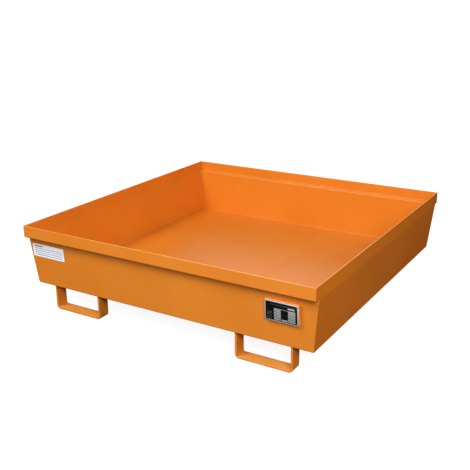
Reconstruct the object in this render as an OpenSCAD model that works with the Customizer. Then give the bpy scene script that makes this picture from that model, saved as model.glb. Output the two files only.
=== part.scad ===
// Steel spill containment pallet: a sump tray folded from one sheet, closed by two side sheets
// and standing on four bent flat-bar feet that double as fork pockets.
// Millimetres. +X is to the right along the front, +Y to the rear, +Z up.
// The origin is on the ground, under the middle of the tray.

/* [Tray] */
// Width over the rim, left to right
tray_w = 1250; // [900:10:1600]
// Depth over the rim, front to rear
tray_d = 1250; // [900:10:1700]
// Height of the rim's top edge above the ground
tray_h = 345; // [300:1:500]
// Thickness of the sheet steel
sheet_t = 3; // [2:0.5:5]
// Inside radius of the bends in the sheet
sheet_bend_r = 4; // [2:0.5:8]

/* [Rim and walls] */
// Height of the upright rim, from the underside of the grating ledge
rim_h = 48; // [35:1:70]
// Step from the rim to the wall at the front and rear, which makes the grating ledge
ledge_w = 24; // [22:1:50]
// How far the front and rear walls lean in between the ledge and the floor
end_lean = 13; // [8:1:60]
// How far the side sheets lean in between the rim and the floor
side_lean = 20; // [5:1:60]

/* [Feet] */
// Ground clearance under the floor
foot_h = 100; // [80:1:140]
// Clear width of the fork pocket between a foot's legs
pocket_w = 208; // [150:1:260]
// Width of the flat bar, front to rear
bar_w = 50; // [45:1:100]
// Thickness of the flat bar
bar_t = 8; // [5:0.5:12]
// Inside radius of the bends in the flat bar
bar_bend_r = 8; // [5:0.5:16]
// From the side of the rim to the outer leg of a foot
foot_inset = 98; // [60:1:200]
// From the front or rear edge of the floor to the foot
foot_setback = 8; // [0:1:60]

/* [Welds] */
// Leg length of the fillets that seal the sump
seam_leg = 4; // [3:0.5:6]
// Leg length of the fillets on the feet
foot_weld_leg = 5; // [3:0.5:8]
// Length of leg left bare at each end of a foot's fillets
foot_weld_bare = 8; // [4:1:16]
// Radius of the tack welds beside the type plate holder
tack_r = 3; // [2:0.5:4]
// From the holder's upper and lower edges to the outer tack welds
tack_end = 5; // [3:0.5:15]

/* [Type plate] */
// Width of the type plate
plate_w = 124; // [90:1:160]
// Height of the type plate
plate_h = 73; // [55:1:90]
// Thickness of the type plate
plate_t = 1; // [0.5:0.1:2]
// Radius of the type plate's corners
plate_corner_r = 3; // [1:0.5:6]
// Border of the holder that shows to the left of the type plate
border_left = 1; // [0.5:0.5:12]
// Border of the holder that shows to the right of the type plate
border_right = 5; // [0.5:0.5:12]
// Border of the holder that shows above the type plate
border_top = 4; // [0.5:0.5:12]
// Border of the holder that shows below the type plate
border_bottom = 1; // [0.5:0.5:12]
// How far the holder stands off the wall
holder_depth = 10; // [8:0.5:20]
// Thickness of the holder's sheet
holder_t = 1.5; // [1:0.1:2]
// Inside radius of the bends in the holder
holder_bend_r = 1.5; // [0.5:0.1:2]
// From the right corner of the wall to the holder's lower right corner
holder_gap = 47; // [20:1:200]
// From the underside of the ledge to the holder's upper edge, along the wall
holder_drop = 29; // [20:1:60]

/* [Rivets] */
// Diameter of the rivets' shanks
rivet_d = 3.2; // [2.4:0.1:4]
// Diameter of the rivets' domed heads
rivet_head_d = 6; // [5:0.1:7]
// Height of the rivets' domed heads
rivet_head_h = 1.2; // [0.8:0.1:2]
// Diameter of the tails set behind the holder's sheet
rivet_tail_d = 4.6; // [4.2:0.1:5]
// Height of the tails
rivet_tail_h = 2; // [1:0.1:3]
// Clearance of a shank in its hole, across the diameter
rivet_clearance = 0.1; // [0.05:0.05:0.3]
// From the edges of the type plate to the rivets' centres
rivet_inset = 5; // [4.5:0.5:8]

/* [Label] */
// Width of the label
label_w = 160; // [100:1:200]
// Height of the label
label_h = 53; // [40:1:80]
// Thickness of the label
label_t = 0.3; // [0.2:0.1:0.5]
// From the left corner of the wall to the label's lower left corner
label_gap = 4; // [1:1:120]
// From the underside of the ledge to the label's upper edge, along the wall
label_drop = 27; // [12:1:60]

/* [Hidden] */
corners = [
    ["front_left", -1, -1],
    ["front_right", 1, -1],
    ["rear_left", -1, 1],
    ["rear_right", 1, 1],
];
sides = [["left", -1], ["right", 1]];

NODES = concat(
    ["folded_trough"],
    [for (s = sides) str(s[0], "_side_sheet")],
    [for (c = corners) str(c[0], "_foot")],
    [for (s = sides) str(s[0], "_floor_weld")],
    [for (c = corners) str(c[0], "_corner_weld")],
    [for (c = corners) str(c[0], "_foot_welds")],
    ["type_plate_holder", "holder_tack_welds", "type_plate", "type_plate_rivets", "label"]
);
node = "all";

// Finishes
paint = "#DE7B1C";
weld_paint = "#D07016";
bare_aluminium = "#C9CCCE";
label_film = "#F4F5F6";

// Facets of a bend, as degrees per facet
bend_facet = 11.25;
$fn = 48;

// Levels
floor_top = foot_h + sheet_t;
ledge_under = tray_h - rim_h;
ledge_mid = ledge_under + sheet_t / 2;
floor_mid = foot_h + sheet_t / 2;

// Slopes of the walls, as horizontal run per unit of height
end_slope = end_lean / (ledge_mid - floor_mid);
side_slope = side_lean / (ledge_mid - floor_mid);
end_angle = atan(end_slope);
side_angle = atan(side_slope);

// Middle lines of the sheets, as distances from the tray's middle planes
rim_mid_x = tray_w / 2 - sheet_t / 2;
rim_mid_y = tray_d / 2 - sheet_t / 2;
function side_mid(z) = rim_mid_x - side_slope * (ledge_mid - z);
function end_mid(z) = rim_mid_y - ledge_w - end_slope * (ledge_mid - z);

// Faces of the leaning walls at a level, as distances from the middle planes
function side_inner(z) = side_mid(z) - sheet_t / 2 / cos(side_angle);
function end_inner(z) = end_mid(z) - sheet_t / 2 / cos(end_angle);
function end_outer(z) = end_mid(z) + sheet_t / 2 / cos(end_angle);

// Plan of the floor and the feet
floor_edge = end_outer(foot_h);
floor_flat = end_mid(floor_mid) - (sheet_bend_r + sheet_t / 2) * tan((90 - end_angle) / 2);
leg_mid = (pocket_w + bar_t) / 2;
foot_x = tray_w / 2 - foot_inset - bar_t - pocket_w / 2;
foot_outer_y = floor_edge - foot_setback;
foot_inner_y = foot_outer_y - bar_w;

// Levels between which the sump's corners are welded, clear of the bends at the floor and the ledge
corner_low = floor_top + sheet_bend_r;
corner_high = ledge_under - sheet_bend_r;

// Type plate holder, and the notches in its corners that let it fold
holder_w = border_left + plate_w + border_right;
holder_h = border_bottom + plate_h + border_top;
holder_notch = holder_t + holder_bend_r;

// Folded strips: a strip is drawn round the middle line of the sheet, bend by bend

function unit(v) = v / norm(v);
function left_of(v) = [-v[1], v[0]];
function turned(v, a) = [v[0] * cos(a) - v[1] * sin(a), v[0] * sin(a) + v[1] * cos(a)];
function run(path, i) = unit(path[i + 1] - path[i]);
function bend(path, i) =
    let (a = run(path, i - 1), b = run(path, i))
    atan2(a[0] * b[1] - a[1] * b[0], a * b);

// Points of one face of a strip, at a signed distance to the left of its middle line
function strip_face(path, offset_left, mid_r) =
    let (last = len(path) - 1)
    concat(
        [path[0] + offset_left * left_of(run(path, 0))],
        [
            for (i = [1 : last - 1])
                let (
                    angle = bend(path, i),
                    way = sign(angle),
                    before = run(path, i - 1),
                    tangent = mid_r * tan(abs(angle) / 2),
                    centre = path[i] - tangent * before + way * mid_r * left_of(before),
                    facets = ceil(abs(angle) / bend_facet)
                )
                for (k = [0 : facets])
                    centre - (way * mid_r - offset_left) * left_of(turned(before, angle * k / facets))
        ],
        [path[last] + offset_left * left_of(run(path, last - 1))]
    );

function reversed(list) = [for (i = [len(list) - 1 : -1 : 0]) list[i]];

module strip(path, thickness, inside_r) {
    mid_r = inside_r + thickness / 2;
    polygon(concat(
        strip_face(path, thickness / 2, mid_r),
        reversed(strip_face(path, -thickness / 2, mid_r))
    ));
}

// A drawing in the YZ plane, extruded along X, and one in the XZ plane, extruded along Y
module extrude_x(length) {
    rotate([90, 0, 90]) linear_extrude(length, center = true) children();
}

module extrude_y(length) {
    rotate([90, 0, 0]) linear_extrude(length, center = true) children();
}

function mirrored_path(path) = concat(path, [for (p = reversed(path)) [-p[0], p[1]]]);

// Middle line of the trough: front rim, ledge, wall, floor, then the same to the rear
trough_path = mirrored_path([
    [-rim_mid_y, tray_h],
    [-rim_mid_y, ledge_mid],
    [-end_mid(ledge_mid), ledge_mid],
    [-end_mid(floor_mid), floor_mid],
]);

// Middle line of the right side sheet, run on below the floor, where the trough's outline trims it
side_low = foot_h - 2 * sheet_t;
side_path = [
    [rim_mid_x, tray_h],
    [rim_mid_x, ledge_mid],
    [side_mid(side_low), side_low],
];

// All that lies within the trough's outer faces, seen from the side
module trough_section() {
    polygon(strip_face(trough_path, -sheet_t / 2, sheet_bend_r + sheet_t / 2));
}

// All that lies between the inner faces of the side sheets, seen from the front
module between_side_sheets() {
    right_face = strip_face(side_path, -sheet_t / 2, sheet_bend_r + sheet_t / 2);
    polygon(concat(right_face, [for (p = reversed(right_face)) [-p[0], p[1]]]));
}

module folded_trough() {
    color(paint)
    intersection() {
        extrude_x(tray_w) strip(trough_path, sheet_t, sheet_bend_r);
        extrude_y(tray_d) between_side_sheets();
    }
}

module side_sheet(way) {
    color(paint)
    mirror([way < 0 ? 1 : 0, 0, 0])
    intersection() {
        extrude_y(tray_d) strip(side_path, sheet_t, sheet_bend_r);
        extrude_x(tray_w) trough_section();
    }
}

// Flat bar bent to a U, its legs butting against the floor
module foot(corner) {
    foot_path = [
        [-leg_mid, foot_h],
        [-leg_mid, bar_t / 2],
        [leg_mid, bar_t / 2],
        [leg_mid, foot_h],
    ];
    color(paint)
    translate([corner[1] * foot_x, corner[2] * (foot_outer_y + foot_inner_y) / 2, 0])
    extrude_y(bar_w) strip(foot_path, bar_t, bar_bend_r);
}

// Fillet in the corner between the right side sheet and the rear wall, between two levels
module corner_fillet(low, high) {
    rings = [
        for (z = [low, high])
            let (x = side_inner(z), y = end_inner(z))
            [[x, y, z], [x - seam_leg, y, z], [x, y - seam_leg, z]]
    ];
    polyhedron(
        points = concat(rings[0], rings[1]),
        faces = [[0, 1, 2], [5, 4, 3], [0, 3, 4, 1], [1, 4, 5, 2], [2, 5, 3, 0]]
    );
}

module corner_weld(corner) {
    color(weld_paint)
    mirror([corner[1] < 0 ? 1 : 0, 0, 0])
    mirror([0, corner[2] < 0 ? 1 : 0, 0])
    corner_fillet(corner_low, corner_high);
}

// Fillet between the floor and a side sheet, run on round the bends to where the corner welds begin
module floor_weld(way) {
    color(weld_paint)
    mirror([way < 0 ? 1 : 0, 0, 0])
    difference() {
        union() {
            extrude_y(2 * end_inner(floor_top))
                polygon([
                    [side_inner(floor_top), floor_top],
                    [side_inner(floor_top + seam_leg), floor_top + seam_leg],
                    [side_inner(floor_top) - seam_leg, floor_top],
                ]);
            corner_fillet(floor_top, corner_low);
            mirror([0, 1, 0]) corner_fillet(floor_top, corner_low);
        }
        folded_trough();
    }
}

// Fillets on both faces of both legs of a foot, against the flat of the floor
module foot_welds(corner) {
    outer_end = min(floor_flat, foot_outer_y) - foot_weld_bare;
    inner_end = foot_inner_y + foot_weld_bare;
    color(weld_paint)
    translate([corner[1] * foot_x, corner[2] * (outer_end + inner_end) / 2, foot_h])
    for (leg = [-1, 1])
        for (face = [-1, 1])
            translate([leg * leg_mid + face * bar_t / 2, 0, 0])
            mirror([face < 0 ? 1 : 0, 0, 0])
            extrude_y(outer_end - inner_end)
                polygon([[0, 0], [foot_weld_leg, 0], [0, -foot_weld_leg]]);
}

// Level of a point on the front wall, from its distance down the slope below the ledge's underside
function wall_level(down_slope) = ledge_under - down_slope * cos(end_angle);

// Puts a drawing on the front wall's outer face: its X along the wall, its Y up the slope, its Z outwards
module on_front_wall(x, down_slope) {
    z = wall_level(down_slope);
    translate([x, -end_outer(z), z])
    rotate([90 + end_angle, 0, 0])
    children();
}

// The holder's drawing has its origin at the middle of the holder, on the wall
module on_holder() {
    low_corner = side_inner(wall_level(holder_drop + holder_h));
    on_front_wall(low_corner - holder_gap - holder_w / 2, holder_drop + holder_h / 2) children();
}

// The type plate's drawing has its origin at the middle of the plate, on the holder's front
module on_plate() {
    on_holder()
    translate([(border_left - border_right) / 2, (border_bottom - border_top) / 2, holder_depth])
    children();
}

module at_rivets() {
    for (x = [-1, 1])
        for (y = [-1, 1])
            translate([x * (plate_w / 2 - rivet_inset), y * (plate_h / 2 - rivet_inset), 0]) children();
}

module rivet_holes() {
    reach = plate_t + holder_depth;
    on_plate() at_rivets()
        translate([0, 0, -reach]) cylinder(d = rivet_d + rivet_clearance, h = 2 * reach);
}

// A channel that spans the holder, with its flanges towards the wall
module holder_channel(span, length) {
    flange = span / 2 - holder_t / 2;
    face = holder_depth - holder_t / 2;
    channel_path = [[-flange, 0], [-flange, face], [flange, face], [flange, 0]];
    extrude_y(length) strip(channel_path, holder_t, holder_bend_r);
}

// Shallow box folded from one sheet, open towards the wall and notched at its corners
module type_plate_holder() {
    color(paint)
    difference() {
        on_holder() {
            holder_channel(holder_w, holder_h - 2 * holder_notch);
            rotate([0, 0, 90]) holder_channel(holder_h, holder_w - 2 * holder_notch);
        }
        rivet_holes();
    }
}

// Quarter balls of weld in the corner between the holder's sides and the wall
module holder_tack_welds() {
    outer_row = holder_h / 2 - tack_end;
    color(weld_paint)
    on_holder()
    for (way = [-1, 1])
        for (row = [-outer_row, 0, outer_row])
            translate([way * holder_w / 2, row, 0])
            intersection() {
                sphere(tack_r);
                translate([way < 0 ? -2 * tack_r : 0, -tack_r, 0]) cube(2 * tack_r);
            }
}

module type_plate() {
    flat = [plate_w - 2 * plate_corner_r, plate_h - 2 * plate_corner_r];
    color(bare_aluminium)
    difference() {
        on_plate() linear_extrude(plate_t) offset(r = plate_corner_r) square(flat, center = true);
        rivet_holes();
    }
}

// Blind rivets: domed head on the plate, shank, and the tail set behind the holder's sheet
module type_plate_rivets() {
    grip = plate_t + holder_t;
    dome_r = ((rivet_head_d / 2) ^ 2 + rivet_head_h ^ 2) / (2 * rivet_head_h);
    color(bare_aluminium)
    on_plate()
    translate([0, 0, plate_t])
    at_rivets() {
        intersection() {
            translate([0, 0, rivet_head_h - dome_r]) sphere(dome_r);
            cylinder(d = 2 * rivet_head_d, h = 2 * rivet_head_h);
        }
        translate([0, 0, -grip]) cylinder(d = rivet_d, h = grip);
        translate([0, 0, -grip - rivet_tail_h]) cylinder(d = rivet_tail_d, h = rivet_tail_h);
    }
}

module label() {
    low_corner = -side_inner(wall_level(label_drop + label_h));
    color(label_film)
    on_front_wall(low_corner + label_gap, label_drop + label_h)
    cube([label_w, label_h, label_t]);
}

function shown(name) = node == "all" || node == name;

if (shown("folded_trough")) folded_trough();
for (s = sides) if (shown(str(s[0], "_side_sheet"))) side_sheet(s[1]);
for (c = corners) if (shown(str(c[0], "_foot"))) foot(c);
for (s = sides) if (shown(str(s[0], "_floor_weld"))) floor_weld(s[1]);
for (c = corners) if (shown(str(c[0], "_corner_weld"))) corner_weld(c);
for (c = corners) if (shown(str(c[0], "_foot_welds"))) foot_welds(c);
if (shown("type_plate_holder")) type_plate_holder();
if (shown("holder_tack_welds")) holder_tack_welds();
if (shown("type_plate")) type_plate();
if (shown("type_plate_rivets")) type_plate_rivets();
if (shown("label")) label();
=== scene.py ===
import math

import bmesh
import bpy
from mathutils import Matrix, Vector


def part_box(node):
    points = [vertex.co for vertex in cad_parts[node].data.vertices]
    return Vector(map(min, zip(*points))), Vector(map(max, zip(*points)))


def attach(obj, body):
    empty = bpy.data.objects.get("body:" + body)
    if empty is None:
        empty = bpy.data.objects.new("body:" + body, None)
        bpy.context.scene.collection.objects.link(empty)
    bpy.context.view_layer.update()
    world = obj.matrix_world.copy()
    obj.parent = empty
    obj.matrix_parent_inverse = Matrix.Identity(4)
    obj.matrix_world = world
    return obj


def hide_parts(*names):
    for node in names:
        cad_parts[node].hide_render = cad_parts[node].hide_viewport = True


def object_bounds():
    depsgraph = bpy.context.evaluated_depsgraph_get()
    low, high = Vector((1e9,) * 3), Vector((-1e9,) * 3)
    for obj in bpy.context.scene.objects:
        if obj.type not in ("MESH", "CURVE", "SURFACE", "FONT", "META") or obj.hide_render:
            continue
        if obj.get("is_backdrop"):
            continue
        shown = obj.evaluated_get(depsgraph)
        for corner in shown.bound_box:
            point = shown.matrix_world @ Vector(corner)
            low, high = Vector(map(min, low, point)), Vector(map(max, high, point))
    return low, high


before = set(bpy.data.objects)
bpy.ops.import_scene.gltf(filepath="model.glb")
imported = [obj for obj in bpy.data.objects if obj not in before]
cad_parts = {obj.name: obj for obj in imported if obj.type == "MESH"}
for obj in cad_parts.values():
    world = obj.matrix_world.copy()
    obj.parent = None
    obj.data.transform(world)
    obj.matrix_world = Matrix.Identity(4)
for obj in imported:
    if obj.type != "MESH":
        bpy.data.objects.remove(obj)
cadLow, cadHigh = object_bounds()  # the box that every piece stays inside
print("frame loaded:", len(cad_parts), "nodes")


# the camera stands where the photograph was taken from, right of the middle, looking down a little
shot = {
    "place": (1.5103, -2.5609, 1.2405),
    "yaw": 31.24,  # to the left of straight ahead, degrees
    "pitch": 18.82,  # downwards
    "roll": -0.53,
    "focalPixels": 749.0,  # focal length in pixels of the image
    "imagePixels": 470,
}


def placeCamera():
    bpy.ops.object.select_all(action="DESELECT")
    bpy.ops.object.camera_add()
    camera = bpy.context.active_object
    turn = Matrix.Rotation(math.radians(shot["yaw"]), 4, "Z")
    tilt = Matrix.Rotation(math.radians(90 - shot["pitch"]), 4, "X")
    roll = Matrix.Rotation(math.radians(shot["roll"]), 4, "Z")
    camera.matrix_world = Matrix.Translation(shot["place"]) @ turn @ tilt @ roll
    camera.data.lens = camera.data.sensor_width * shot["focalPixels"] / shot["imagePixels"]
    bpy.context.scene.camera = camera


placeCamera()
print("camera placed")


# the tray's sheet metal; the sizes over all come from the frame
tray = {
    "sheet": 0.003,
    "bendRadius": 0.002,  # inside a fold
    "rimHeight": 0.048,  # upright rim, from the underside of the ledge
    "ledge": 0.024,  # step between the rim and the end walls
    "endLean": 0.013,
    "sideLean": 0.020,
    "sideBend": 0.004,  # the side sheets bend in this far below their ears
    "foldSteps": 8,
    "edgeRound": 0.0011,  # deburred and painted cut edges
    "cornerRound": 0.0016,  # welded corners, ground flush
    "warp": 0.0007,  # how far a panel wanders from flat
    "warpSize": 0.32,
    "warpFade": 0.09,  # panels stay flat this close to their edges
}
halfWidth, halfDepth, rimTop = cadHigh
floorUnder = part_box("folded_trough")[0].z
floorMid = floorUnder + tray["sheet"] / 2
floorTop = floorUnder + tray["sheet"]
ledgeUnder = rimTop - tray["rimHeight"]
ledgeMid = ledgeUnder + tray["sheet"] / 2
bendLine = ledgeUnder - tray["sideBend"]
foldRadius = tray["bendRadius"] + tray["sheet"] / 2
endSlope = tray["endLean"] / (ledgeMid - floorMid)
sideSlope = tray["sideLean"] / (bendLine - floorMid)
endAngle = math.atan(endSlope)
sideAngle = math.atan(sideSlope)


def endMid(z):
    return halfDepth - tray["sheet"] / 2 - tray["ledge"] - endSlope * (ledgeMid - z)


def endOuter(z):
    return endMid(z) + tray["sheet"] / 2 / math.cos(endAngle)


def endInner(z):
    return endMid(z) - tray["sheet"] / 2 / math.cos(endAngle)


def sideMid(z):
    return halfWidth - tray["sheet"] / 2 - sideSlope * (bendLine - z)


def sideInner(z):
    return sideMid(z) - tray["sheet"] / 2 / math.cos(sideAngle)


# hand tools: start a piece, pick its parts by place, pull, cut, fold and finish
hand = {
    "close": 0.00002,  # places this near are one
    "cutClose": 0.0000001,
    "sharp": 1,  # radians, a turn that counts as an edge
    "facing": 0.9,  # share of a normal that counts as facing one way
    "smooth": 28,  # degrees, gentler turns are shaded round
    "flatWeight": 100,  # how much large faces count in the shading
    "roundSteps": 3,
}


def newPiece(name, primitive, **settings):
    bpy.ops.object.select_all(action="DESELECT")
    primitive(**settings)
    piece = bpy.context.active_object
    piece.name = piece.data.name = name
    return piece


def fixPlace():
    bpy.ops.object.transform_apply(location=True, rotation=True, scale=True)


def editing(on):
    bpy.ops.object.mode_set(mode="EDIT" if on else "OBJECT")


def near(a, b):
    return abs(a - b) < hand["close"]


def pick(kind, test):
    bpy.ops.mesh.select_mode(type=kind)
    bpy.ops.mesh.select_all(action="DESELECT")
    mesh = bpy.context.edit_object.data
    shape = bmesh.from_edit_mesh(mesh)
    for item in {"VERT": shape.verts, "EDGE": shape.edges, "FACE": shape.faces}[kind]:
        if test(item):
            item.select_set(True)
    bmesh.update_edit_mesh(mesh)


def pickAll(kind):
    bpy.ops.mesh.select_mode(type=kind)
    bpy.ops.mesh.select_all(action="SELECT")


def pickEdgesOf(test):
    pick("EDGE", lambda edge: all(test(v.co) for v in edge.verts))


def isSharp(edge):
    return edge.calc_face_angle(0) > hand["sharp"]


def isCap(face):  # the many-sided end of a bead or a turned piece
    return len(face.verts) > 4


def pull(x=0, y=0, z=0):
    bpy.ops.mesh.extrude_region_move(TRANSFORM_OT_translate={"value": (x, y, z)})


def cut(place, normal, clear=False):
    bpy.ops.mesh.select_all(action="SELECT")
    bpy.ops.mesh.bisect(plane_co=place, plane_no=normal, clear_outer=clear, threshold=hand["cutClose"])


def roundEdges(radius, steps=hand["roundSteps"]):
    bpy.ops.mesh.bevel(offset=radius, segments=steps, affect="EDGES")


def roundCorners(reach, steps):
    bpy.ops.mesh.bevel(offset=reach, offset_type="ABSOLUTE", segments=steps, affect="VERTICES")


def applyModifier(piece, kind, **settings):
    modifier = piece.modifiers.new(kind.lower(), kind)
    for name, value in settings.items():
        setattr(modifier, name, value)
    bpy.context.view_layer.objects.active = piece
    bpy.ops.object.modifier_apply(modifier=modifier.name)


def wander(piece, size, strength, **settings):
    clouds = bpy.data.textures.new(piece.name + "Clouds", "CLOUDS")
    clouds.noise_scale = size
    applyModifier(piece, "DISPLACE", texture=clouds, strength=strength, **settings)


def warpPanel(piece, freeness):
    group = piece.vertex_groups.new(name="free")  # how freely each place on the sheet can wander
    for vertex in piece.data.vertices:
        group.add([vertex.index], freeness(vertex.co), "REPLACE")
    wander(piece, tray["warpSize"], 2 * tray["warp"], vertex_group="free")
    piece.vertex_groups.clear()


def fade(distance):  # none at a panel's edge, full where it is free
    share = min(max(distance / tray["warpFade"], 0), 1)
    return share * share * (3 - 2 * share)


def thicken(piece, thickness):
    applyModifier(piece, "SOLIDIFY", thickness=thickness, offset=0, use_even_offset=True)


def choose(*pieces):
    bpy.ops.object.select_all(action="DESELECT")
    for piece in pieces:
        piece.select_set(True)
    bpy.context.view_layer.objects.active = pieces[0]


def smooth(piece, degrees=hand["smooth"]):
    choose(piece)
    bpy.ops.object.shade_smooth_by_angle(angle=math.radians(degrees))


def keepFlats(piece):  # flat faces shade flat right up to their rounded edges
    smooth(piece)
    applyModifier(piece, "WEIGHTED_NORMAL", keep_sharp=True, weight=hand["flatWeight"])


def copyOf(piece, name, place):
    choose(piece)
    bpy.ops.object.duplicate(linked=False)
    twin = bpy.context.active_object
    twin.name = twin.data.name = name
    twin.data.transform(place)
    return twin


def joined(pieces, name):
    choose(*pieces)
    bpy.ops.object.join()
    pieces[0].name = pieces[0].data.name = name
    return pieces[0]


def finishPiece(piece, finish, slot, *nodes):
    piece.data.materials.clear()
    piece.data.materials.append(finish)
    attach(piece, "root")
    if nodes:
        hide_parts(*nodes)


# material tools: colours, and nodes with their settings and links

def hexColour(code):  # sRGB to linear light
    shares = [int(code[i:i + 2], 16) / 255 for i in (1, 3, 5)]
    linear = [s / 12.92 if s <= 0.04045 else ((s + 0.055) / 1.055) ** 2.4 for s in shares]
    return (*linear, 1)


def addNode(tree, kind, settings=None, links=None):
    node = tree.nodes.new(kind)
    for name, value in (settings or {}).items():
        if name == "stops":  # a colour ramp's places and colours
            for stop, (place, colour) in zip(node.color_ramp.elements, value):
                stop.position = place
                stop.color = hexColour(colour)
        elif isinstance(name, int) or name in node.inputs:
            node.inputs[name].default_value = value
        else:
            setattr(node, name, value)
    for name, (source, output) in (links or {}).items():
        tree.links.new(source.outputs[output], node.inputs[name])
    return node


def newMaterial(name):
    material = bpy.data.materials.new(name)
    material.use_nodes = True
    material.node_tree.nodes.clear()
    return material, material.node_tree


# stoved orange enamel on steel: even semi-gloss, a faint orange peel, hue drifting a little over a panel
enamel = {
    "colours": ("#DD7F21", "#E38628"),
    "driftSize": 0.22,
    "driftDetail": 3,
    "peelSize": 0.006,  # the real peel is 1 to 2 mm, drawn coarser so that it shows at this distance
    "peelDetail": 2,
    "peelHeight": 0.00001,
    "peelStrength": 1,
    "roughness": (0.3, 0.38),
    "smearSize": 0.09,
    "smearDetail": 4,
    "spread": (0.3, 0.7),  # nearly all of a noise lies in here
    "ior": 1.5,
}


def makeEnamel(name, look):
    material, tree = newMaterial(name)
    place = addNode(tree, "ShaderNodeTexCoord")
    drift = addNode(tree, "ShaderNodeTexNoise",
                    {"Scale": 1 / look["driftSize"], "Detail": look["driftDetail"]},
                    {"Vector": (place, "Object")})
    hue = addNode(tree, "ShaderNodeValToRGB", {"stops": zip(look["spread"], look["colours"])},
                  {"Fac": (drift, "Fac")})
    smear = addNode(tree, "ShaderNodeTexNoise",
                    {"Scale": 1 / look["smearSize"], "Detail": look["smearDetail"]},
                    {"Vector": (place, "Object")})
    low, high = look["spread"]
    shiny, dull = look["roughness"]
    gloss = addNode(tree, "ShaderNodeMapRange",
                    {"From Min": low, "From Max": high, "To Min": shiny, "To Max": dull},
                    {"Value": (smear, "Fac")})
    peel = addNode(tree, "ShaderNodeTexNoise",
                   {"Scale": 1 / look["peelSize"], "Detail": look["peelDetail"]},
                   {"Vector": (place, "Object")})
    bump = addNode(tree, "ShaderNodeBump",
                   {"Strength": look["peelStrength"], "Distance": look["peelHeight"]},
                   {"Height": (peel, "Fac")})
    shader = addNode(tree, "ShaderNodeBsdfPrincipled", {"IOR": look["ior"]}, {
        "Base Color": (hue, "Color"),
        "Roughness": (gloss, "Result"),
        "Normal": (bump, "Normal"),
    })
    addNode(tree, "ShaderNodeOutputMaterial", links={"Surface": (shader, "BSDF")})
    return material


edgeHighlightLook = {**enamel, "colours": ("#E9A156", "#F2B06A")}  # paler, a painted highlight on the rim's cut edge
topHighlightLook = {**enamel, "colours": ("#E4913A", "#EB9C46")}  # less pale, a painted highlight on ledges, foot bars and tacks
overWeld = {**enamel, "colours": ("#D97C20", "#E08527"), "peelHeight": 0.00003}  # a rougher skin
orangeEnamel = makeEnamel("orangeEnamel", enamel)
edgeHighlightEnamel = makeEnamel("edgeHighlightPaint", edgeHighlightLook)
topHighlightEnamel = makeEnamel("topHighlightPaint", topHighlightLook)
paintedWeld = makeEnamel("enamelOverWeld", overWeld)


# rolled and anodised aluminium sheet: pale satin grey, fine lines of the rolling along its length
aluminium = {
    "colours": ("#D6D8DA", "#ECEDEE"),
    "lineSize": 0.0006,  # real lines are under 0.1 mm, drawn coarser so that they show from near by
    "lineStretch": (0.03, 1, 1),  # long across the plate
    "lineDetail": 3,
    "lineHeight": 0.00002,
    "lineStrength": 0.4,
    "spread": (0.3, 0.7),
    "metal": 0.6,
    "roughness": 0.5,
}


def makeAluminium(name, look):
    material, tree = newMaterial(name)
    place = addNode(tree, "ShaderNodeTexCoord")
    stretch = addNode(tree, "ShaderNodeMapping", {"Scale": look["lineStretch"]},
                      {"Vector": (place, "Object")})
    lines = addNode(tree, "ShaderNodeTexNoise",
                    {"Scale": 1 / look["lineSize"], "Detail": look["lineDetail"]},
                    {"Vector": (stretch, "Vector")})
    tone = addNode(tree, "ShaderNodeValToRGB", {"stops": zip(look["spread"], look["colours"])},
                   {"Fac": (lines, "Fac")})
    bump = addNode(tree, "ShaderNodeBump",
                   {"Strength": look["lineStrength"], "Distance": look["lineHeight"]},
                   {"Height": (lines, "Fac")})
    shader = addNode(tree, "ShaderNodeBsdfPrincipled",
                     {"Metallic": look["metal"], "Roughness": look["roughness"]},
                     {"Base Color": (tone, "Color"), "Normal": (bump, "Normal")})
    addNode(tree, "ShaderNodeOutputMaterial", links={"Surface": (shader, "BSDF")})
    return material


plateAluminium = makeAluminium("anodisedAluminium", aluminium)
rivetAluminium = makeAluminium("drawnAluminium", {**aluminium, "metal": 1, "roughness": 0.35})


# screen-printed ink, and the vinyl under it: a dull film with fine pinholes and speckle
ink = {
    "colours": ("#9AA6B6", "#AEB9C8"),
    "speckSize": 0.0008,  # real pinholes are finer, drawn coarser so that they show from near by
    "speckDetail": 2,
    "speckHeight": 0.00001,
    "speckStrength": 0.3,
    "spread": (0.35, 0.75),
    "roughness": 0.5,
    "shine": 0.5,
    "ior": 1.5,
}
plateField = {**ink, "colours": ("#030305", "#08090B"), "roughness": 0.6, "shine": 0.2}
headingInk = {**ink, "colours": ("#3C4657", "#4C5768")}
vinyl = {**ink, "colours": ("#F1F6FE", "#F9FCFF"), "roughness": 0.4, "speckSize": 0.004}  # satin white


def makeInk(name, look):
    material, tree = newMaterial(name)
    place = addNode(tree, "ShaderNodeTexCoord")
    specks = addNode(tree, "ShaderNodeTexNoise",
                     {"Scale": 1 / look["speckSize"], "Detail": look["speckDetail"]},
                     {"Vector": (place, "Object")})
    tone = addNode(tree, "ShaderNodeValToRGB", {"stops": zip(look["spread"], look["colours"])},
                   {"Fac": (specks, "Fac")})
    bump = addNode(tree, "ShaderNodeBump",
                   {"Strength": look["speckStrength"], "Distance": look["speckHeight"]},
                   {"Height": (specks, "Fac")})
    shader = addNode(tree, "ShaderNodeBsdfPrincipled", {
        "Roughness": look["roughness"],
        "IOR": look["ior"],
        "Specular IOR Level": look["shine"],
    }, {"Base Color": (tone, "Color"), "Normal": (bump, "Normal")})
    addNode(tree, "ShaderNodeOutputMaterial", links={"Surface": (shader, "BSDF")})
    return material


blackInk = makeInk("blackPlateInk", plateField)
greyInk = makeInk("greyLabelInk", ink)
slateInk = makeInk("slateLabelInk", headingInk)
whiteFilm = makeInk("whiteVinylFilm", vinyl)
print("materials made")


def coatFaces(piece, coat, isCoated):
    piece.data.materials.append(coat)
    for face in piece.data.polygons:
        if isCoated(face):
            face.material_index = len(piece.data.materials) - 1


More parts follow.
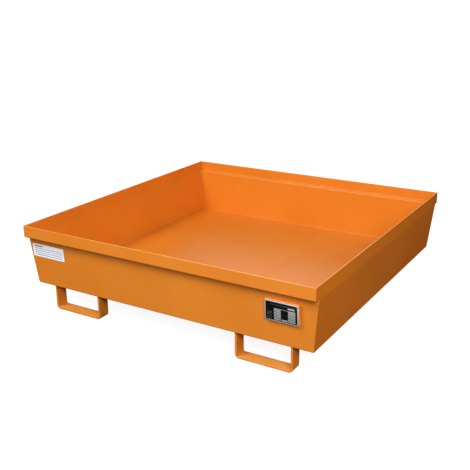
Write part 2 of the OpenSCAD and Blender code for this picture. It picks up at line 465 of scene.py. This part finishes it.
def paintRimHighlight(piece):  # a painted highlight on the rim's cut edge
    coatFaces(piece, edgeHighlightEnamel, lambda face: face.center.z > rimTop - tray["edgeRound"] / 2)


def paintTopHighlight(piece, middle, reach):  # a painted highlight on upward faces near a level
    def isLitTop(face):
        return face.normal.z > hand["facing"] and abs(face.center.z - middle) < reach

    coatFaces(piece, topHighlightEnamel, isLitTop)


# one sheet folded to a trough: floor, leaning end walls, grating ledges and upright rims
trough = {
    "columns": 36,
    "rows": 38,
    "wallRows": 5,
    "wallWarp": 0.5,  # the walls wander less than the floor
}


def makeTrough():
    piece = newPiece("foldedTrough", bpy.ops.mesh.primitive_grid_add, size=1, location=(0, 0, floorMid),
                     x_subdivisions=trough["columns"], y_subdivisions=trough["rows"])
    piece.scale = (2 * halfWidth, 2 * endMid(floorMid), 1)
    fixPlace()
    editing(True)
    wallRise = (ledgeMid - floorMid) / trough["wallRows"]
    for way in (-1, 1):
        pickEdgesOf(lambda co: near(co.y, way * endMid(floorMid)))
        for row in range(trough["wallRows"]):
            pull(y=way * wallRise * endSlope, z=wallRise)
        pull(y=way * tray["ledge"])
        pull(z=rimTop - ledgeMid)
    for y, z, turn in (
        (halfDepth - tray["sheet"] / 2, ledgeMid, math.pi / 2),
        (endMid(ledgeMid), ledgeMid, math.pi / 2 - endAngle),
        (endMid(floorMid), floorMid, math.pi / 2 - endAngle),
    ):
        pickEdgesOf(lambda co: near(abs(co.y), y) and near(co.z, z))
        roundEdges(foldRadius * math.tan(turn / 2), tray["foldSteps"])
    for way in (-1, 1):  # trimmed to fit between the side sheets
        cut((way * sideInner(bendLine), 0, 0), (way, 0, 0), clear=True)
        lean = Vector((way * math.cos(sideAngle), 0, -math.sin(sideAngle)))
        cut((way * sideInner(floorMid), 0, floorMid), lean, clear=True)
    editing(False)

    def freeness(co):
        overFloor = min(endInner(floorTop) - abs(co.y), sideInner(floorTop) - abs(co.x))
        upWall = min(co.z - floorTop, ledgeUnder - co.z, sideInner(floorTop) - abs(co.x))
        return max(fade(overFloor), trough["wallWarp"] * fade(upWall))

    def onRim(edge):
        run = (edge.verts[0].co - edge.verts[1].co).normalized()
        return all(near(v.co.z, rimTop) for v in edge.verts) and abs(run.x) > hand["facing"]

    warpPanel(piece, freeness)
    thicken(piece, tray["sheet"])
    editing(True)
    pick("EDGE", onRim)
    roundEdges(tray["edgeRound"])
    editing(False)
    keepFlats(piece)
    finishPiece(piece, orangeEnamel, "orange_paint", "folded_trough")
    # a painted highlight along the rim's cut edge
    paintRimHighlight(piece)
    paintTopHighlight(piece, ledgeMid, tray["sheet"])  # a painted highlight on the ledges


makeTrough()
print("trough folded")


# side sheets: cut to the trough's section, an ear at each end to close the ledge, bent in below the rim
sideSheet = {
    "columns": 30,
    "rows": 5,
    "cornerSteps": 7,
    "roundSteps": 4,
    "crease": 0.0015,  # cuts this far from the bend keep it narrow
    "warp": 0.6,  # share of what the floor wanders
}


def makeSideSheet(name, way, node):
    def flat(z):  # level on the flat sheet, before its lower part is bent in
        return bendLine - (bendLine - z) / math.cos(sideAngle) if z < bendLine else z

    piece = newPiece(name, bpy.ops.mesh.primitive_plane_add, size=1, rotation=(0, math.pi / 2, 0),
                     location=(way * (halfWidth - tray["sheet"] / 2), 0, (rimTop + flat(ledgeUnder)) / 2))
    piece.scale = (rimTop - flat(ledgeUnder), 2 * halfDepth, 1)
    fixPlace()
    editing(True)
    neck = endOuter(ledgeUnder)
    for side in (-1, 1):
        cut((0, side * neck, 0), (0, 1, 0))
    pickEdgesOf(lambda co: near(co.z, flat(ledgeUnder)) and abs(co.y) < neck + hand["close"])
    pull(z=flat(floorUnder) - flat(ledgeUnder))
    bpy.ops.transform.resize(value=(1, endOuter(floorUnder) / neck, 1), center_override=(0, 0, 0))
    pickAll("FACE")
    bpy.ops.mesh.dissolve_faces()
    outerRadius = tray["bendRadius"] + tray["sheet"]
    for y, z, reach in (
        (halfDepth, flat(ledgeUnder), outerRadius),
        (neck, flat(ledgeUnder), tray["bendRadius"] * math.tan(math.pi / 4 - endAngle / 2)),
        (endOuter(floorUnder), flat(floorUnder), outerRadius * math.tan(math.pi / 4 - endAngle / 2)),
    ):
        pick("VERT", lambda v: near(abs(v.co.y), y) and near(v.co.z, z))
        roundCorners(reach, sideSheet["cornerSteps"])
    for column in range(1, sideSheet["columns"]):
        cut((0, halfDepth * (2 * column / sideSheet["columns"] - 1), 0), (0, 1, 0))
    for row in range(1, sideSheet["rows"] + 1):
        cut((0, 0, floorUnder + (bendLine - floorUnder) * row / sideSheet["rows"]), (0, 0, 1))
    for side in (-1, 1):
        cut((0, 0, bendLine + side * sideSheet["crease"]), (0, 0, 1))
    pick("VERT", lambda v: v.co.z < bendLine - hand["close"])
    bpy.ops.transform.rotate(value=-way * sideAngle, orient_axis="Y",
                             center_override=(way * (halfWidth - tray["sheet"] / 2), 0, bendLine))
    editing(False)

    def freeness(co):
        room = min(co.z - floorUnder, bendLine - co.z, endOuter(co.z) - abs(co.y))
        return sideSheet["warp"] * fade(room)

    def onTop(edge):
        return all(near(v.co.z, rimTop) for v in edge.verts)

    def onOutline(edge):  # of the sheet's outer face
        return isSharp(edge) and any(way * face.normal.x > hand["facing"] for face in edge.link_faces)

    warpPanel(piece, freeness)
    thicken(piece, tray["sheet"])
    editing(True)
    pick("EDGE", lambda edge: onOutline(edge) and not onTop(edge))
    roundEdges(tray["cornerRound"], sideSheet["roundSteps"])
    pick("EDGE", lambda edge: onTop(edge) and isSharp(edge))
    roundEdges(tray["edgeRound"])
    editing(False)
    for v in piece.data.vertices:
        v.co.x = way * min(way * v.co.x, halfWidth)  # the rounded bend line stays flush with the rim
    keepFlats(piece)
    finishPiece(piece, orangeEnamel, "orange_paint", node)
    # a painted highlight along the rim's cut edge
    paintRimHighlight(piece)


makeSideSheet("leftSideSheet", -1, "left_side_sheet")
makeSideSheet("rightSideSheet", 1, "right_side_sheet")
print("side sheets cut and bent")


# feet: flat bar bent to a U, its two legs butting against the underside of the floor
foot = {"bar": 0.008, "bendRadius": 0.008, "foldSteps": 10, "edgeRound": 0.0012}
corners = (
    ("frontLeft", "front_left"),
    ("frontRight", "front_right"),
    ("rearLeft", "rear_left"),
    ("rearRight", "rear_right"),
)


def makeFoot():
    low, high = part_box("front_left_foot")
    width, depth, height = high - low
    legMid = (width - foot["bar"]) / 2
    piece = newPiece("foot", bpy.ops.mesh.primitive_plane_add, size=1, location=(0, 0, foot["bar"] / 2))
    piece.scale = (2 * legMid, depth, 1)
    fixPlace()
    editing(True)
    for way in (-1, 1):
        pickEdgesOf(lambda co: near(co.x, way * legMid) and near(co.z, foot["bar"] / 2))
        pull(z=height - foot["bar"] / 2)
    pickEdgesOf(lambda co: near(abs(co.x), legMid) and near(co.z, foot["bar"] / 2))
    roundEdges(foot["bendRadius"] + foot["bar"] / 2, foot["foldSteps"])
    editing(False)
    thicken(piece, foot["bar"])
    editing(True)
    pick("EDGE", isSharp)
    roundEdges(foot["edgeRound"])
    editing(False)
    keepFlats(piece)
    return piece


def placeFeet():
    master = makeFoot()
    for name, corner in corners:
        low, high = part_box(corner + "_foot")
        middle = Vector(((low.x + high.x) / 2, (low.y + high.y) / 2, 0))
        twin = copyOf(master, name + "Foot", Matrix.Translation(middle))
        finishPiece(twin, orangeEnamel, "orange_paint", corner + "_foot")
        paintTopHighlight(twin, foot["bar"] / 2, foot["bar"])  # a painted highlight on the bar's top
    bpy.data.objects.remove(master)


placeFeet()
print("feet bent and placed")


# weld beads: a convex fillet laid in overlapping scales, thinner at both ends
bead = {
    "pitch": 0.0036,
    "throat": 0.68,  # how far the middle of the bead reaches, as a share of its leg
    "lag": 0.0012,  # the scales trail behind in the middle
    "rings": ((0, 0.94), (0.2, 0.985), (0.5, 1.01), (0.85, 0.99), (1, 0.94)),  # share of the pitch, size
    "faceRound": 0.4,  # share of the leg
    "faceSteps": 2,
    "wander": 0.0003,
    "wanderSize": 0.02,
    "endSize": 0.55,
    "weld": 0.000001,  # rings this near are joined
    "smooth": 50,  # degrees
}


def swell(size):  # about the root of the bead
    bpy.ops.transform.resize(value=(1, size, size), center_override=(0, 0, 0))


def makeBead(name, leg, length):
    count = max(round(length / bead["pitch"]) - 1, 1)
    pitch = length / (count + 1)  # the tapered ends take half a pitch each
    piece = newPiece(name, bpy.ops.mesh.primitive_plane_add, size=leg, rotation=(0, math.pi / 2, 0),
                     location=(0, leg / 2, leg / 2))
    fixPlace()
    editing(True)
    pick("VERT", lambda v: near(v.co.y, leg) and near(v.co.z, leg))
    drop = leg * (bead["throat"] - 1)
    bpy.ops.transform.translate(value=(bead["lag"], drop, drop))
    roundCorners(bead["faceRound"] * leg, bead["faceSteps"])
    pickAll("FACE")
    before, size = bead["rings"][0]
    swell(size)
    for share, ring in bead["rings"][1:]:
        pull(x=(share - before) * pitch)
        swell(ring / size)
        before, size = share, ring
    pick("FACE", isCap)
    bpy.ops.mesh.delete(type="ONLY_FACE")
    editing(False)
    applyModifier(piece, "ARRAY", count=count, use_relative_offset=False, use_constant_offset=True,
                  constant_offset_displace=(pitch, 0, 0), use_merge_vertices=True,
                  merge_threshold=bead["weld"])
    editing(True)
    bpy.ops.mesh.select_all(action="SELECT")
    bpy.ops.mesh.fill_holes(sides=0)
    for way, end in ((-1, 0), (1, count * pitch)):
        pick("FACE", lambda face: isCap(face) and abs(face.calc_center_median().x - end) < pitch / 2)
        pull(x=way * pitch / 2)
        swell(bead["endSize"])
    bpy.ops.mesh.select_all(action="SELECT")
    bpy.ops.mesh.normals_make_consistent(inside=False)
    editing(False)
    piece.data.transform(Matrix.Translation((pitch / 2, 0, 0)))
    wander(piece, bead["wanderSize"], bead["wander"])
    smooth(piece, bead["smooth"])
    return piece


def seamMatrix(normalA, normalB):  # sets a bead into the corner of two surfaces
    legA = (normalB - normalB.dot(normalA) * normalA).normalized()  # lies in surface A, away from surface B
    legB = (normalA - normalA.dot(normalB) * normalB).normalized()
    run = legA.cross(legB).normalized()
    return Matrix((run, legA, legB)).transposed().to_4x4(), run


def layBead(master, name, length, middle, normalA, normalB):
    turn, run = seamMatrix(normalA, normalB)
    return copyOf(master, name, Matrix.Translation(middle - run * length / 2) @ turn)


seam = {
    "leg": 0.004,
    "footLeg": 0.005,
    "cornerTop": ledgeUnder - tray["bendRadius"],
    "cornerLow": floorTop + 0.0008,  # runs down into the end of the floor's bead
    "floorEnd": 0.0008,  # the floor's bead stops this far from the end walls
}
upright = Vector((0, 0, 1))


def sideNormal(way):
    return Vector((-way * math.cos(sideAngle), 0, math.sin(sideAngle)))


def endNormal(way):
    return Vector((0, -way * math.cos(endAngle), math.sin(endAngle)))


def weldFloor():
    length = 2 * (endInner(floorTop) - seam["floorEnd"])
    master = makeBead("floorBead", seam["leg"], length)
    for name, node, way in (
        ("leftFloorWeld", "left_floor_weld", -1),
        ("rightFloorWeld", "right_floor_weld", 1),
    ):
        middle = Vector((way * sideInner(floorTop), 0, floorTop))
        piece = layBead(master, name, length, middle, upright, sideNormal(way))
        finishPiece(piece, paintedWeld, "painted_weld", node)
    bpy.data.objects.remove(master)


def weldCorners():
    run = sideNormal(1).cross(endNormal(1)).normalized()
    length = (seam["cornerTop"] - seam["cornerLow"]) / run.z
    z = (seam["cornerLow"] + seam["cornerTop"]) / 2
    master = makeBead("cornerBead", seam["leg"], length)
    for name, corner in corners:
        wayX = 1 if "right" in corner else -1
        wayY = 1 if "rear" in corner else -1
        middle = Vector((wayX * sideInner(z), wayY * endInner(z), z))
        piece = layBead(master, name + "CornerWeld", length, middle, endNormal(wayY), sideNormal(wayX))
        finishPiece(piece, paintedWeld, "painted_weld", corner + "_corner_weld")
    bpy.data.objects.remove(master)


def weldFeet():
    weldLow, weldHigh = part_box("front_left_foot_welds")
    length = weldHigh.y - weldLow.y
    master = makeBead("footBead", seam["footLeg"], length)
    for name, corner in corners:
        low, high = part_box(corner + "_foot")
        weldLow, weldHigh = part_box(corner + "_foot_welds")
        beads = []
        for face, way in (
            (low.x, -1),
            (low.x + foot["bar"], 1),
            (high.x - foot["bar"], -1),
            (high.x, 1),
        ):
            middle = Vector((face, (weldLow.y + weldHigh.y) / 2, floorUnder))
            outward = Vector((way, 0, 0))
            beads.append(layBead(master, "legBead", length, middle, -upright, outward))
        piece = joined(beads, name + "FootWelds")
        finishPiece(piece, paintedWeld, "painted_weld", corner + "_foot_welds")
    bpy.data.objects.remove(master)


weldFloor()
weldCorners()
weldFeet()
print("seams welded")


# type plate holder: a shallow box folded from thin sheet, notched at its corners, tacked to the front wall
holder = {
    "sheet": 0.0015,
    "depth": 0.010,
    "bendRadius": 0.0015,
    "foldSteps": 5,
    "edgeRound": 0.0003,
    "edgeSteps": 2,
    "notchSpare": 0.0004,  # the notches reach a little past the folds
}
wallUp = Vector((0, -math.sin(endAngle), math.cos(endAngle)))
wallOut = Vector((0, -math.cos(endAngle), -math.sin(endAngle)))


def onFrontWall(node, depth):  # the node's back face on the wall: its matrix, width and height
    low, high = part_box(node)
    place = (low + high) / 2 - wallOut * depth / 2
    turn = Matrix((Vector((1, 0, 0)), wallUp, wallOut)).transposed().to_4x4()
    height = (high.z - low.z - depth * math.sin(endAngle)) / math.cos(endAngle)
    return Matrix.Translation(place) @ turn, high.x - low.x, height


def flatPiece(name, width, height, level):
    piece = newPiece(name, bpy.ops.mesh.primitive_plane_add, size=1, location=(0, 0, level))
    piece.scale = (width, height, 1)
    fixPlace()
    return piece


def makeHolder():
    place, width, height = onFrontWall("type_plate_holder", holder["depth"])
    half = Vector(((width - holder["sheet"]) / 2, (height - holder["sheet"]) / 2))
    level = holder["depth"] - holder["sheet"] / 2
    notch = holder["sheet"] + holder["bendRadius"] + holder["notchSpare"]
    piece = flatPiece("typePlateHolder", 2 * half.x, 2 * half.y, level)
    editing(True)
    for way in (-1, 1):
        cut((way * (width / 2 - notch), 0, 0), (1, 0, 0))
        cut((0, way * (height / 2 - notch), 0), (0, 1, 0))

    def inNotch(face):
        middle = face.calc_center_median()
        return abs(middle.x) > width / 2 - notch and abs(middle.y) > height / 2 - notch

    pick("FACE", inNotch)
    bpy.ops.mesh.delete(type="FACE")
    for axis in (0, 1):
        for way in (-1, 1):
            pickEdgesOf(lambda co: near(co[axis], way * half[axis]) and near(co.z, level))
            pull(z=-level)
            pickEdgesOf(lambda co: near(co[axis], way * half[axis]) and near(co.z, level))
            roundEdges(holder["bendRadius"] + holder["sheet"] / 2, holder["foldSteps"])
    editing(False)
    thicken(piece, holder["sheet"])
    editing(True)
    pick("EDGE", isSharp)
    roundEdges(holder["edgeRound"], holder["edgeSteps"])
    editing(False)
    keepFlats(piece)
    piece.data.transform(place)
    finishPiece(piece, orangeEnamel, "orange_paint", "type_plate_holder")


makeHolder()


# tack welds down both sides of the holder
tack = {
    "radius": 0.003,
    "end": 0.005,  # from the holder's edge to the outer tacks
    "segments": 20,
    "rings": 12,
    "smooth": 50,
}


def makeTack():
    piece = newPiece("tack", bpy.ops.mesh.primitive_uv_sphere_add, radius=tack["radius"],
                     segments=tack["segments"], ring_count=tack["rings"])
    editing(True)
    for normal in ((0, -1, 0), (0, 0, -1)):  # a quarter ball, for the corner
        bpy.ops.mesh.select_all(action="SELECT")
        bpy.ops.mesh.bisect(plane_co=(0, 0, 0), plane_no=normal, clear_outer=True, use_fill=True)
    editing(False)
    return piece


def placeTacks():
    place, width, height = onFrontWall("type_plate_holder", holder["depth"])
    master = makeTack()
    tacks = []
    for way in (-1, 1):
        turn = seamMatrix(wallOut, Vector((way, 0, 0)))[0]
        for row in (-1, 0, 1):
            middle = place @ Vector((way * width / 2, row * (height / 2 - tack["end"]), 0))
            tacks.append(copyOf(master, "holderTack", Matrix.Translation(middle) @ turn))
    bpy.data.objects.remove(master)
    piece = joined(tacks, "holderTackWelds")
    smooth(piece, tack["smooth"])
    # the tacks get the paler enamel as a painted highlight
    finishPiece(piece, topHighlightEnamel, "painted_weld", "holder_tack_welds")


placeTacks()


# type plate: aluminium with a printed black field, whose blank cells leave the metal bare
plate = {"thickness": 0.001, "cornerRadius": 0.003, "cornerSteps": 5, "edgeRound": 0.0002, "edgeSteps": 2}


def makePlate():
    place, width, height = onFrontWall("type_plate", plate["thickness"])
    piece = flatPiece("typePlate", width, height, plate["thickness"] / 2)
    editing(True)
    pickAll("VERT")
    roundCorners(plate["cornerRadius"], plate["cornerSteps"])
    editing(False)
    thicken(piece, plate["thickness"])
    editing(True)
    pick("EDGE", isSharp)
    roundEdges(plate["edgeRound"], plate["edgeSteps"])
    editing(False)
    smooth(piece)
    piece.data.transform(place)
    finishPiece(piece, plateAluminium, "plate_aluminium", "type_plate")


# the print on the type plate, measured from the plate's middle; spans are left, right, low, high
plateInk = {
    "height": 0.00005,
    "field": (-0.058, 0.0565, -0.033, 0.0325),
    "fieldRadius": 0.003,
    "fieldSteps": 5,
    "cells": (
        (0.0230, 0.0480, 0.0160, 0.0205),  # wide cell at the top
        (0.0010, 0.0220, -0.0305, -0.0245),  # cell between the columns
        (-0.0275, 0.0495, 0.0098, 0.0112),  # rule over both columns
        (-0.0400, 0.0470, 0.0236, 0.0240),  # hairline under the top edge
    ),
    "columns": ((-0.0275, -0.0025), (0.0235, 0.0495)),
    "columnTop": 0.009,
    "rows": 7,
    "rowPitch": 0.0058,
    "rowGap": 0.0016,
    "lineSpan": (-0.052, -0.035),  # thin lines beside the columns
    "lineTop": -0.004,
    "lines": 5,
    "linePitch": 0.0055,
    "lineHeight": 0.0005,
}


def plateWindows():
    windows = list(plateInk["cells"])
    for row in range(plateInk["rows"]):
        high = plateInk["columnTop"] - row * plateInk["rowPitch"]
        low = high - plateInk["rowPitch"] + plateInk["rowGap"]
        windows += [(*column, low, high) for column in plateInk["columns"]]
    for row in range(plateInk["lines"]):
        high = plateInk["lineTop"] - row * plateInk["linePitch"]
        windows.append((*plateInk["lineSpan"], high - plateInk["lineHeight"], high))
    return windows


def makePrint():
    place = onFrontWall("type_plate", plate["thickness"])[0]
    windows = plateWindows()
    left, right, low, high = plateInk["field"]
    level = plate["thickness"] + plateInk["height"] / 2
    piece = flatPiece("typePlatePrint", right - left, high - low, level)
    piece.data.transform(Matrix.Translation(((left + right) / 2, (low + high) / 2, 0)))
    editing(True)
    pickAll("VERT")
    roundCorners(plateInk["fieldRadius"], plateInk["fieldSteps"])
    for x in sorted({v for window in windows for v in window[:2]}):
        cut((x, 0, 0), (1, 0, 0))
    for y in sorted({v for window in windows for v in window[2:]}):
        cut((0, y, 0), (0, 1, 0))

    def inWindow(face):
        middle = face.calc_center_median()
        return any(w[0] < middle.x < w[1] and w[2] < middle.y < w[3] for w in windows)

    pick("FACE", inWindow)
    bpy.ops.mesh.delete(type="FACE")
    editing(False)
    thicken(piece, plateInk["height"])
    piece.data.transform(place)
    finishPiece(piece, blackInk, None)


makePlate()
makePrint()


# blind rivets: domed head with the broken-off pin sunk in its middle, shank, and the tail behind the holder
rivet = {
    "sides": 28,
    "head": 0.006,
    "headHeight": 0.0012,
    "headRound": 0.00102,
    "headSteps": 6,
    "pin": 0.0018,
    "pinSunk": 0.0005,
    "pinEdge": 0.0002,  # groove round the broken pin, as wide as it is deep
    "shank": 0.0032,
    "tail": 0.0046,
    "tailHeight": 0.002,
    "inset": 0.005,  # from the plate's edges
    "smooth": 40,
}


def makeRivet():
    piece = newPiece("rivet", bpy.ops.mesh.primitive_cylinder_add, vertices=rivet["sides"],
                     radius=rivet["head"] / 2, depth=rivet["headHeight"],
                     location=(0, 0, rivet["headHeight"] / 2))
    fixPlace()
    editing(True)
    pickEdgesOf(lambda co: near(co.z, rivet["headHeight"]))
    roundEdges(rivet["headRound"], rivet["headSteps"])
    pick("FACE", lambda face: isCap(face) and near(face.calc_center_median().z, rivet["headHeight"]))
    flatRadius = rivet["head"] / 2 - rivet["headRound"]
    bpy.ops.mesh.inset(thickness=flatRadius - rivet["pin"] / 2)
    pull(z=-rivet["pinSunk"])
    bpy.ops.mesh.inset(thickness=rivet["pinEdge"])
    pull(z=rivet["pinEdge"])
    pick("FACE", lambda face: isCap(face) and near(face.calc_center_median().z, 0))
    bpy.ops.mesh.inset(thickness=(rivet["head"] - rivet["shank"]) / 2)
    pull(z=-plate["thickness"] - holder["sheet"])
    pull(z=0)
    spread = rivet["tail"] / rivet["shank"]
    bpy.ops.transform.resize(value=(spread, spread, 1))
    pull(z=-rivet["tailHeight"])
    editing(False)
    smooth(piece, rivet["smooth"])
    return piece


def placeRivets():
    place, width, height = onFrontWall("type_plate", plate["thickness"])
    right = width / 2 - rivet["inset"]
    upper = height / 2 - rivet["inset"]
    master = makeRivet()
    for sideName, x in (("Left", -right), ("Right", right)):
        for rowName, y in (("lower", -upper), ("upper", upper)):
            spot = place @ Matrix.Translation((x, y, plate["thickness"]))
            twin = copyOf(master, rowName + sideName + "Rivet", spot)
            finishPiece(twin, rivetAluminium, "rivet_aluminium", "type_plate_rivets")
    bpy.data.objects.remove(master)


placeRivets()
print("type plate riveted on its holder")


# label: white vinyl stuck to the wall, with a short heading bar and blank rules below it
label = {
    "film": 0.0003,
    "cornerRadius": 0.001,
    "cornerSteps": 3,
    "margin": 0.010,
    "rows": 5,
    "heading": (0.042, 0.0040),  # length and height
    "ruleHeight": 0.0030,
    "ink": 0.00004,
}


def makeLabel():
    place, width, height = onFrontWall("label", label["film"])
    film = flatPiece("labelFilm", width, height, label["film"] / 2)
    editing(True)
    pickAll("VERT")
    roundCorners(label["cornerRadius"], label["cornerSteps"])
    editing(False)
    thicken(film, label["film"])
    film.data.transform(place)
    finishPiece(film, whiteFilm, "label_film", "label")
    left = label["margin"] - width / 2
    pitch = height / (label["rows"] + 1)
    bars = [label["heading"]] + [(-2 * left, label["ruleHeight"])] * (label["rows"] - 1)
    rules = []
    for row, (long, thick) in enumerate(bars):
        rule = flatPiece("rule", long, thick, label["film"] + label["ink"] / 2)
        rule.data.transform(Matrix.Translation((left + long / 2, height / 2 - pitch * (row + 1), 0)))
        thicken(rule, label["ink"])
        rules.append(rule)
    piece = joined(rules, "labelRules")
    piece.data.transform(place)
    finishPiece(piece, greyInk, None)
    underHeading = place @ Vector((0, height / 2 - pitch * 1.5, 0))  # halfway to the next rule
    coatFaces(piece, slateInk, lambda face: face.center.z > underHeading.z)


makeLabel()
print("label stuck on")


# the studio: a pale paper floor, soft lamps all round, and a sky that is brightest low down behind the tray
studio = {
    "floorSize": 240,
    "floorColour": "#8C8C8C",
    "floorRoughness": 0.9,
    "floorGlow": (0.91, 1),  # the paper is lit from below, more so far from the lamps
    "glowReach": (1.6, 4.5),  # between these distances from the middle it grows
    "roof": 0.1,  # strength of the sky straight overhead, none at the horizon
    "cards": (  # way to it, strength, sharpness
        ((-0.25, 0.95, 0.14), 1.35, 14),
        ((-0.42, -0.72, -0.55), 0.135, 4),
        ((0.31, 0.88, -0.36), 0.028, 3),
    ),
    "cardColour": "#FFEEDA",
    "horizon": 0.03,  # a card keeps to its own side of the horizon and fades out this close to it
    "white": "#FFFFFF",
    "lamps": (  # place, size, watts, colour, glint
        ((-1.6, -2.9, 3.9), 1.6, 152, "#FFFFFF", True),  # the main light
        ((2.6, -3.2, 2.6), 1.6, 150, "#FFFFFF", False),  # behind a diffuser, so the sump shows no glare
        ((-0.6, -4.4, 0.26), 0.45, 29, "#FFFFFF", True),  # low, so the front wall hides it from the sump
        ((4.2, 0.0, 1.8), 2.4, 41, "#FFD0A6", True),  # warmer, from the side
        ((-1.5, 3.6, 2.6), 2.6, 12, "#FFFFFF", True),  # a sheen from behind
        ((-1.2, 4.6, 1.5), 2.4, 62, "#FFFFFF", False),  # fill for the back
        ((-4.6, 0.2, 1.5), 2.4, 46, "#FFFFFF", False),  # fill for the left side
    ),
    "aim": (0, 0, 0.2),
}


def makeFloor():
    floor = newPiece("studioFloor", bpy.ops.mesh.primitive_plane_add, size=studio["floorSize"])
    material, tree = newMaterial("palePaperFloor")
    place = addNode(tree, "ShaderNodeTexCoord")
    reach = addNode(tree, "ShaderNodeVectorMath", {"operation": "LENGTH"}, {0: (place, "Object")})
    begin, end = studio["glowReach"]
    least, most = studio["floorGlow"]
    glow = addNode(tree, "ShaderNodeMapRange",
                   {"From Min": begin, "From Max": end, "To Min": least, "To Max": most},
                   {"Value": (reach, "Value")})
    shader = addNode(tree, "ShaderNodeBsdfPrincipled", {
        "Base Color": hexColour(studio["floorColour"]),
        "Roughness": studio["floorRoughness"],
        "Specular IOR Level": 0,
        "Emission Color": hexColour(studio["white"]),
    }, {"Emission Strength": (glow, "Result")})
    addNode(tree, "ShaderNodeOutputMaterial", links={"Surface": (shader, "BSDF")})
    floor.data.materials.append(material)
    floor.visible_diffuse = False  # no glare from the paper on the paint
    floor.visible_glossy = False
    floor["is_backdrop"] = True


def makeSky():
    world = bpy.data.worlds.new("studioSky")
    bpy.context.scene.world = world
    world.use_nodes = True
    tree = world.node_tree
    tree.nodes.clear()
    way = addNode(tree, "ShaderNodeTexCoord")
    height = addNode(tree, "ShaderNodeSeparateXYZ", links={"Vector": (way, "Generated")})
    roof = addNode(tree, "ShaderNodeMapRange", {"To Max": studio["roof"]}, {"Value": (height, "Z")})
    total = (roof, "Result")
    for aim, power, sharpness in studio["cards"]:
        toCard = Vector(aim).normalized()
        facing = addNode(tree, "ShaderNodeVectorMath", {"operation": "DOT_PRODUCT", 1: toCard},
                         {0: (way, "Generated")})
        # a range clamps, so a card gives nothing on the far half of the sky
        spread = addNode(tree, "ShaderNodeMapRange", links={"Value": (facing, "Value")})
        card = addNode(tree, "ShaderNodeMath", {"operation": "POWER", 1: sharpness},
                       {0: (spread, "Result")})
        horizon = math.copysign(studio["horizon"], aim[2])
        side = addNode(tree, "ShaderNodeMapRange", {"From Max": horizon, "To Max": power},
                       {"Value": (height, "Z")})
        added = addNode(tree, "ShaderNodeMath", {"operation": "MULTIPLY_ADD"},
                        {0: (card, "Value"), 1: (side, "Result"), 2: total})
        total = (added, "Value")
    light = addNode(tree, "ShaderNodeBackground", {"Color": hexColour(studio["cardColour"])},
                    {"Strength": total})
    seen = addNode(tree, "ShaderNodeBackground", {"Color": hexColour(studio["white"]), "Strength": 1})
    ray = addNode(tree, "ShaderNodeLightPath")
    either = addNode(tree, "ShaderNodeMixShader",
                     links={0: (ray, "Is Camera Ray"), 1: (light, "Background"), 2: (seen, "Background")})
    addNode(tree, "ShaderNodeOutputWorld", links={"Surface": (either, "Shader")})


def makeLamps():
    for place, size, watts, colour, glint in studio["lamps"]:
        bpy.ops.object.light_add(type="AREA", location=place)
        lamp = bpy.context.active_object
        lamp.data.energy = watts
        lamp.data.color = hexColour(colour)[:3]
        lamp.data.size = size
        lamp.visible_camera = False
        lamp.visible_glossy = glint
        toAim = Vector(studio["aim"]) - Vector(place)
        lamp.rotation_euler = toAim.to_track_quat("-Z", "Y").to_euler()
    bpy.context.scene.view_settings.view_transform = "Standard"


makeFloor()
makeSky()
makeLamps()
print("studio lit")

shownLow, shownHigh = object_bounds()
for name, low, high in (("cad", cadLow, cadHigh), ("visual", shownLow, shownHigh)):
    print(name, "box", [round(v, 4) for v in (*low, *high)])
